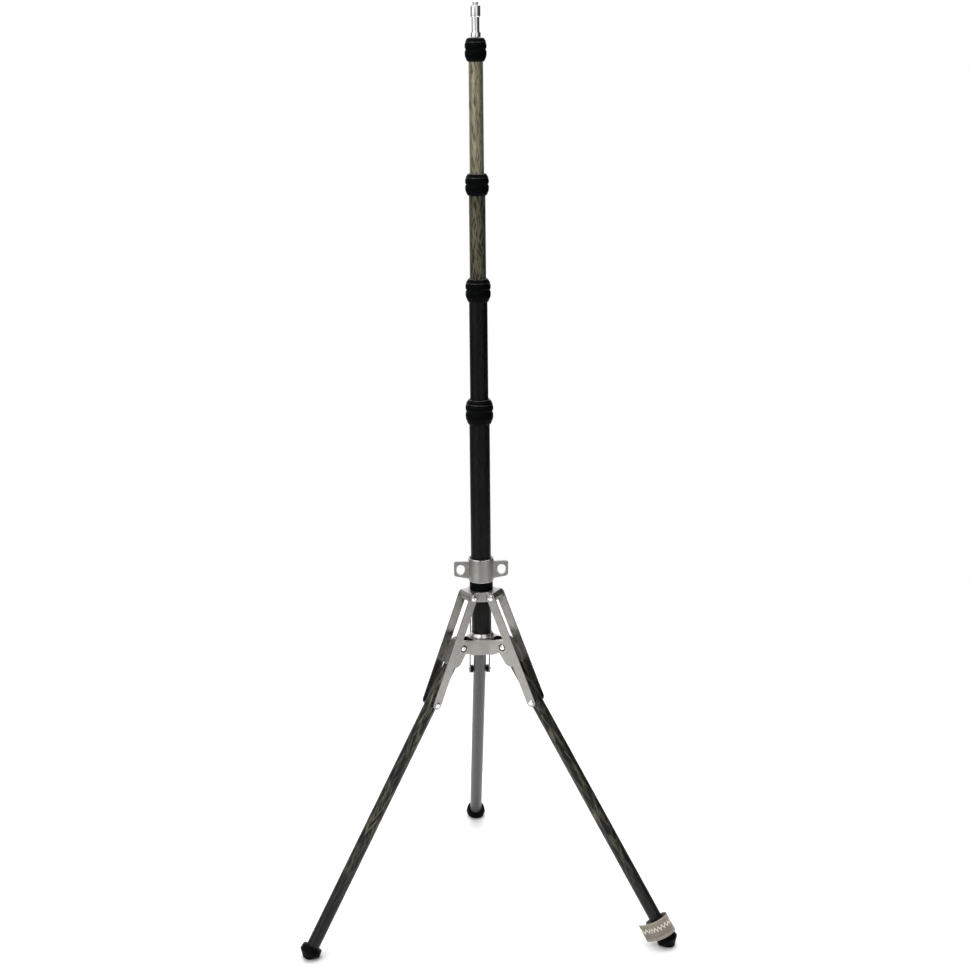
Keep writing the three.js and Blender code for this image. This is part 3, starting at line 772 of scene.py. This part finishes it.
# ---------- legs ----------
def leg_fitting():
    outline = slot_outline(-24, 0, FITTING_RADIUS)
    lug = plate(outline, -FITTING_HALF, FITTING_HALF)
    shoulder = rod(FITTING_RADIUS, -34, -12)
    plug = rod(LEG_RADIUS - WALL - GAP, -62, -30, 48)
    cheeks = [box(-20, 20, y, y + 9, -40, 20) for y in (FITTING_HALF, -FITTING_HALF - 9)]
    hole = cross_rod(PIN_RADIUS + GAP, -15, 15)
    return soften(carve(lug, [shoulder, plug], [*cheeks, hole]), 0.5)


def leg_tube():
    body = revolve(tube(LEG_RADIUS, -LEG_TUBE_END, -LEG_TUBE_START))
    hole = cross_rod(SPOOL_CORE_RADIUS + GAP, -15, 15, 0, -ARM_PIN_ON_LEG)
    return carve(body, [], [hole])


def pivot_spool():
    face = ARM_INNER - GAP
    flange = []
    for sign in (1, -1):
        inner, outer = sorted((sign * (LEG_RADIUS + 0.4), sign * face))
        flange.append(cross_rod(SPOOL_RADIUS, inner, outer, 0, -ARM_PIN_ON_LEG))
    core = cross_rod(SPOOL_CORE_RADIUS, -face, face, 0, -ARM_PIN_ON_LEG)
    return soften(carve(core, flange), 0.35)


def foot():
    """A rubber puck in line with the leg, with grooves, a cone and a level standing face."""
    def side(share):
        return FOOT_SHOULDER + (FOOT_RADIUS - FOOT_SHOULDER) * share

    span = FOOT_TO - FOOT_FROM
    profile = [
        (0, -FOOT_END), (FOOT_TIP, -FOOT_END), (FOOT_RADIUS - 1, -FOOT_TO - 1.1),
        (FOOT_RADIUS - 0.2, -FOOT_TO - 0.1), (FOOT_RADIUS, 0.5 - FOOT_TO),
    ]
    for share in (0.62, 0.36):
        level = -FOOT_FROM - share * span
        profile += [(side(share), level - 0.5), (side(share) - 0.45, level - 0.2)]
        profile += [(side(share) - 0.45, level + 0.2), (side(share), level + 0.5)]
    profile += [
        (FOOT_SHOULDER, -FOOT_FROM - 1.2), (FOOT_SHOULDER - 0.3, -FOOT_FROM - 0.4),
        (FOOT_SHOULDER - 1, -FOOT_FROM), (0, -FOOT_FROM),
    ]
    stand = turn(LEG_ANGLE, "Y") @ shift(-LEG_PIVOT_RADIUS, 0, -LEG_PIVOT_HEIGHT)
    floor = moved(box(0, 600, -60, 60, -100, 0), stand)
    socket = rod(LEG_RADIUS + GAP, -LEG_TUBE_END - GAP, 1 - FOOT_FROM)
    return soften(carve(revolve(profile, FINE), [], [floor, socket]), 0.3, 40)


for side in LEGS:
    leg, arm = leg_frame(side), arm_frame(side)
    at_hub = spoke(side) @ shift(LEG_PIVOT_RADIUS, 0, LEG_PIVOT_HEIGHT)
    at_carriage = spoke(side) @ shift(ARM_PIN_RADIUS, 0, ARM_PIN_HEIGHT)
    install(pin(EAR_OUTER - 1.3, 4.4, 1.2, 1.5), f"leg_pin_{side}", at_hub)
    reach = ARM_INNER + ARM_THICKNESS + GAP
    install(pin(reach, 4.8, 1.5, 1.6), f"arm_pin_{side}", at_carriage)
    # The rear leg takes the grey copy and the front legs the olive one: painted sheen for how each leg
    # catches the light.
    look = "carbon_painted_grey_sheen" if side == "rear" else "carbon_painted_olive_sheen"
    install(leg_tube(), f"leg_tube_{side}", leg, look)
    install(leg_fitting(), f"leg_fitting_{side}", leg, edge=worn_edge_and_highlight)
    install(pivot_spool(), f"pivot_spool_{side}", leg)
    install(foot(), f"foot_{side}", leg)
    # The arms' narrow sides, and the walls of their holes, are painted darker than their faces:
    # painted dark reflection on the edges.
    for letter, sign in (("a", 1), ("b", -1)):
        y0 = ARM_INNER if sign > 0 else -ARM_INNER - ARM_THICKNESS
        bar = plate(slot_outline(-ARM_LENGTH, 0, ARM_HALF_WIDTH), y0, y0 + ARM_THICKNESS)
        holes = [cross_rod(PIN_RADIUS + GAP, -20, 20, 0, z) for z in (0, -ARM_LENGTH)]
        bar = soften(carve(bar, [], holes), 0.45)
        for face in bar.data.polygons:
            face.material_index = int(abs(face.normal.y) < 0.9)
        install(bar, f"arm_{letter}_{side}", arm, edge=finishes["painted_dark_edge"])
        install(rivet(sign), f"arm_rivet_{letter}_{side}", arm @ shift(0, 0, -ARM_LENGTH))

# ---------- tie strap ----------
STRAP_WIDTH = STRAP_TO - STRAP_FROM
CLOTH = 0.9
OVERLAP, TAIL_AT, TAIL_LIFT = math.radians(115), math.radians(-120), 4.5
AROUND_STEPS, TAIL_STEPS, ACROSS_STEPS = 150, 14, 24


def strap_path():
    """The strap's line as seen along the leg: one turn and an overlap, then a free end."""
    points = []
    start, total = TAIL_AT + OVERLAP, 2 * math.pi + OVERLAP
    for i in range(AROUND_STEPS + 1):
        share = i / AROUND_STEPS
        angle = start - total * share
        laid_over = max(0.0, min(1.0, (total * share - 2 * math.pi + 0.5) / 0.5))
        radius = STRAP_RADIUS - 0.25 + (CLOTH + 0.1) * laid_over
        points.append((radius * math.cos(angle), radius * math.sin(angle)))
    x, y = points[-1]
    for i in range(1, TAIL_STEPS + 1):
        heading = TAIL_AT - math.pi / 2 + math.radians(50) * min(1, 2.2 * i / TAIL_STEPS)
        x += STRAP_TAIL / TAIL_STEPS * math.cos(heading)
        y += STRAP_TAIL / TAIL_STEPS * math.sin(heading)
        points.append((x, y))
    return points


def strap():
    path = strap_path()
    lengths = [0.0]
    for (x0, y0), (x1, y1) in zip(path, path[1:]):
        lengths.append(lengths[-1] + math.hypot(x1 - x0, y1 - y0))
    bm = bmesh.new()
    uv = bm.loops.layers.uv.new("weave")
    grid = []
    for i, ((x, y), length) in enumerate(zip(path, lengths)):
        row = []
        lift = TAIL_LIFT * (max(0, i - AROUND_STEPS) / TAIL_STEPS) ** 2
        for j in range(ACROSS_STEPS + 1):
            across = STRAP_WIDTH * j / ACROSS_STEPS
            sag = 0.25 * math.sin(length / 9.0) * math.sin(math.pi * j / ACROSS_STEPS)
            swell = 1 + sag / STRAP_RADIUS
            height = across - STRAP_TO + lift
            row.append(bm.verts.new((x * swell * MM, y * swell * MM, height * MM)))
        grid.append(row)
    for i in range(len(path) - 1):
        for j in range(ACROSS_STEPS):
            face = bm.faces.new((grid[i][j], grid[i + 1][j], grid[i + 1][j + 1], grid[i][j + 1]))
            corners = ((i, j), (i + 1, j), (i + 1, j + 1), (i, j + 1))
            for loop, (a, b) in zip(face.loops, corners):
                loop[uv].uv = (lengths[a] * MM, STRAP_WIDTH * b / ACROSS_STEPS * MM)
    bmesh.ops.recalc_face_normals(bm, faces=bm.faces)
    obj = to_object(bm)
    thicken = obj.modifiers.new("solidify", "SOLIDIFY")
    thicken.thickness = CLOTH * MM
    thicken.offset = 0
    bake(obj)
    return obj, lengths[-1]


strap_piece, strap_length = strap()
install(strap_piece, "tie_strap", leg_frame("right"))

# ---------- hidden inner parts keep their CAD shape ----------
for node in frame["nodes"].values():
    if not node.hide_render:
        for slot in node.material_slots:
            slot.material = inner_plastic


# ---------- floor and light ----------
floor = to_object(box(-1500, 1500, -1500, 1500, -20, 0), "floor")
paper = Nodes("paper")
tooth = paper.noise(paper.add("TexCoord").outputs["Object"], 700.0, 3.0, 0.6)
paper.bump(tooth, 0.00005, 0.3)
paper_tone = paper.ramp(tooth, (0.3, 0.90), (0.7, 0.93))
floor.data.materials.append(paper.surface(Base_Color=paper_tone, Roughness=0.9))

world = bpy.data.worlds.new("studio")
scene.world = world
world.use_nodes = True
tree = world.node_tree
sky = Nodes(tree=tree)
background = tree.nodes["Background"]
direction = sky.add("TexCoord").outputs["Generated"]
x, y, z = sky.parts(direction)[:3]
azimuth = sky.math("ARCTAN2", x, sky.math("MULTIPLY", y, -1.0))
around = sky.math("MULTIPLY_ADD", azimuth, 1 / (2 * math.pi), 0.5)
# Cards round the stand: 0.5 is towards the camera, 0.25 to its left and 0.75 to its right.
sides = sky.ramp(
    around, (0.0, 1.7), (0.145, 1.4), (0.19, 0.1), (0.25, 0.1), (0.29, 1.5), (0.435, 1.6),
    (0.45, 0.15), (0.5, 0.15), (0.515, 1.5), (0.60, 1.1), (0.655, 0.08), (0.88, 0.05), (0.94, 1.4),
)
# From straight down at 0 to straight up at 1.
rise = sky.math("MULTIPLY_ADD", z, 0.5, 0.5)
heights = sky.ramp(rise, (0.40, 0.10), (0.45, 0.22), (0.475, 0.8), (0.75, 0.9), (1.0, 1.1))
studio_light = sky.mix(1.0, sides, heights, "MULTIPLY")
plain = sky.add("Background", {"Color": (1, 1, 1, 1), "Strength": 1.0})
sky.put(studio_light, background.inputs["Color"])
background.inputs["Strength"].default_value = 1.0
seen = sky.add("LightPath").outputs["Is Camera Ray"]
choose = sky.add("MixShader", {0: seen, 1: background.outputs[0], 2: plain.outputs[0]})
tree.links.new(choose.outputs[0], tree.nodes["World Output"].inputs["Surface"])


def lamp(name, kind, place, aim, energy, **settings):
    data = bpy.data.lights.new(name, kind)
    data.energy = energy
    for key, value in settings.items():
        setattr(data, key, value)
    obj = bpy.data.objects.new(name, data)
    scene.collection.objects.link(obj)
    obj.location = place
    obj.rotation_euler = (Vector(aim) - Vector(place)).to_track_quat("-Z", "Y").to_euler()


lamp("overhead", "SUN", (0.25, 0.9, 3), (0, 0, 0), 2.1, angle=math.radians(50))
lamp("key", "AREA", (-1.5, -2.2, 2.3), (0, 0, 0.7), 12, shape="RECTANGLE", size=1.2, size_y=1.8)
scene.view_settings.view_transform = "Standard"
